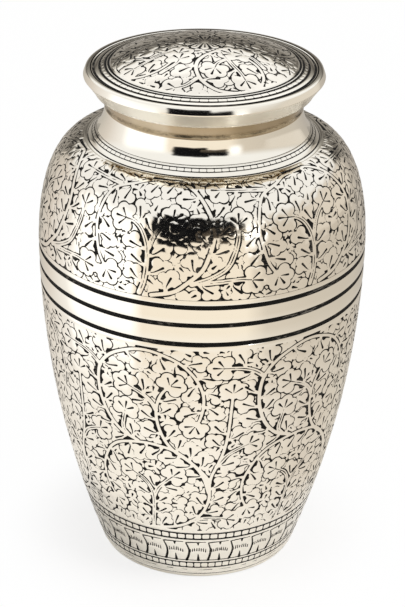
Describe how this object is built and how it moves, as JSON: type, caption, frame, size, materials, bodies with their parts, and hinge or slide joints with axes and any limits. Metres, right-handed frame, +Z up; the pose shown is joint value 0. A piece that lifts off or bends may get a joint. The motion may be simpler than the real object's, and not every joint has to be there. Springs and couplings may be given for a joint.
{
  "type": "cremation urn",
  "caption": "Tall vase-shaped metal cremation urn with engraved leaf scrolls, a banded belly, a short flared neck and a domed lift-off lid.",
  "frame": {"origin": "centre of the urn's underside, on the surface it stands on", "axes": "+Z up along the axis of revolution; the front of the engraved pattern faces -Y"},
  "size_m": [0.1524, 0.1524, 0.254],
  "materials": {
    "vessel_metal": "polished nickel plate over brass with blackened engraving",
    "lid_metal": "polished nickel plate over brass with blackened engraving"
  },
  "bodies": {
    "root": {"vessel": "vessel_metal", "lid": "lid_metal"}
  },
  "joints": []
}
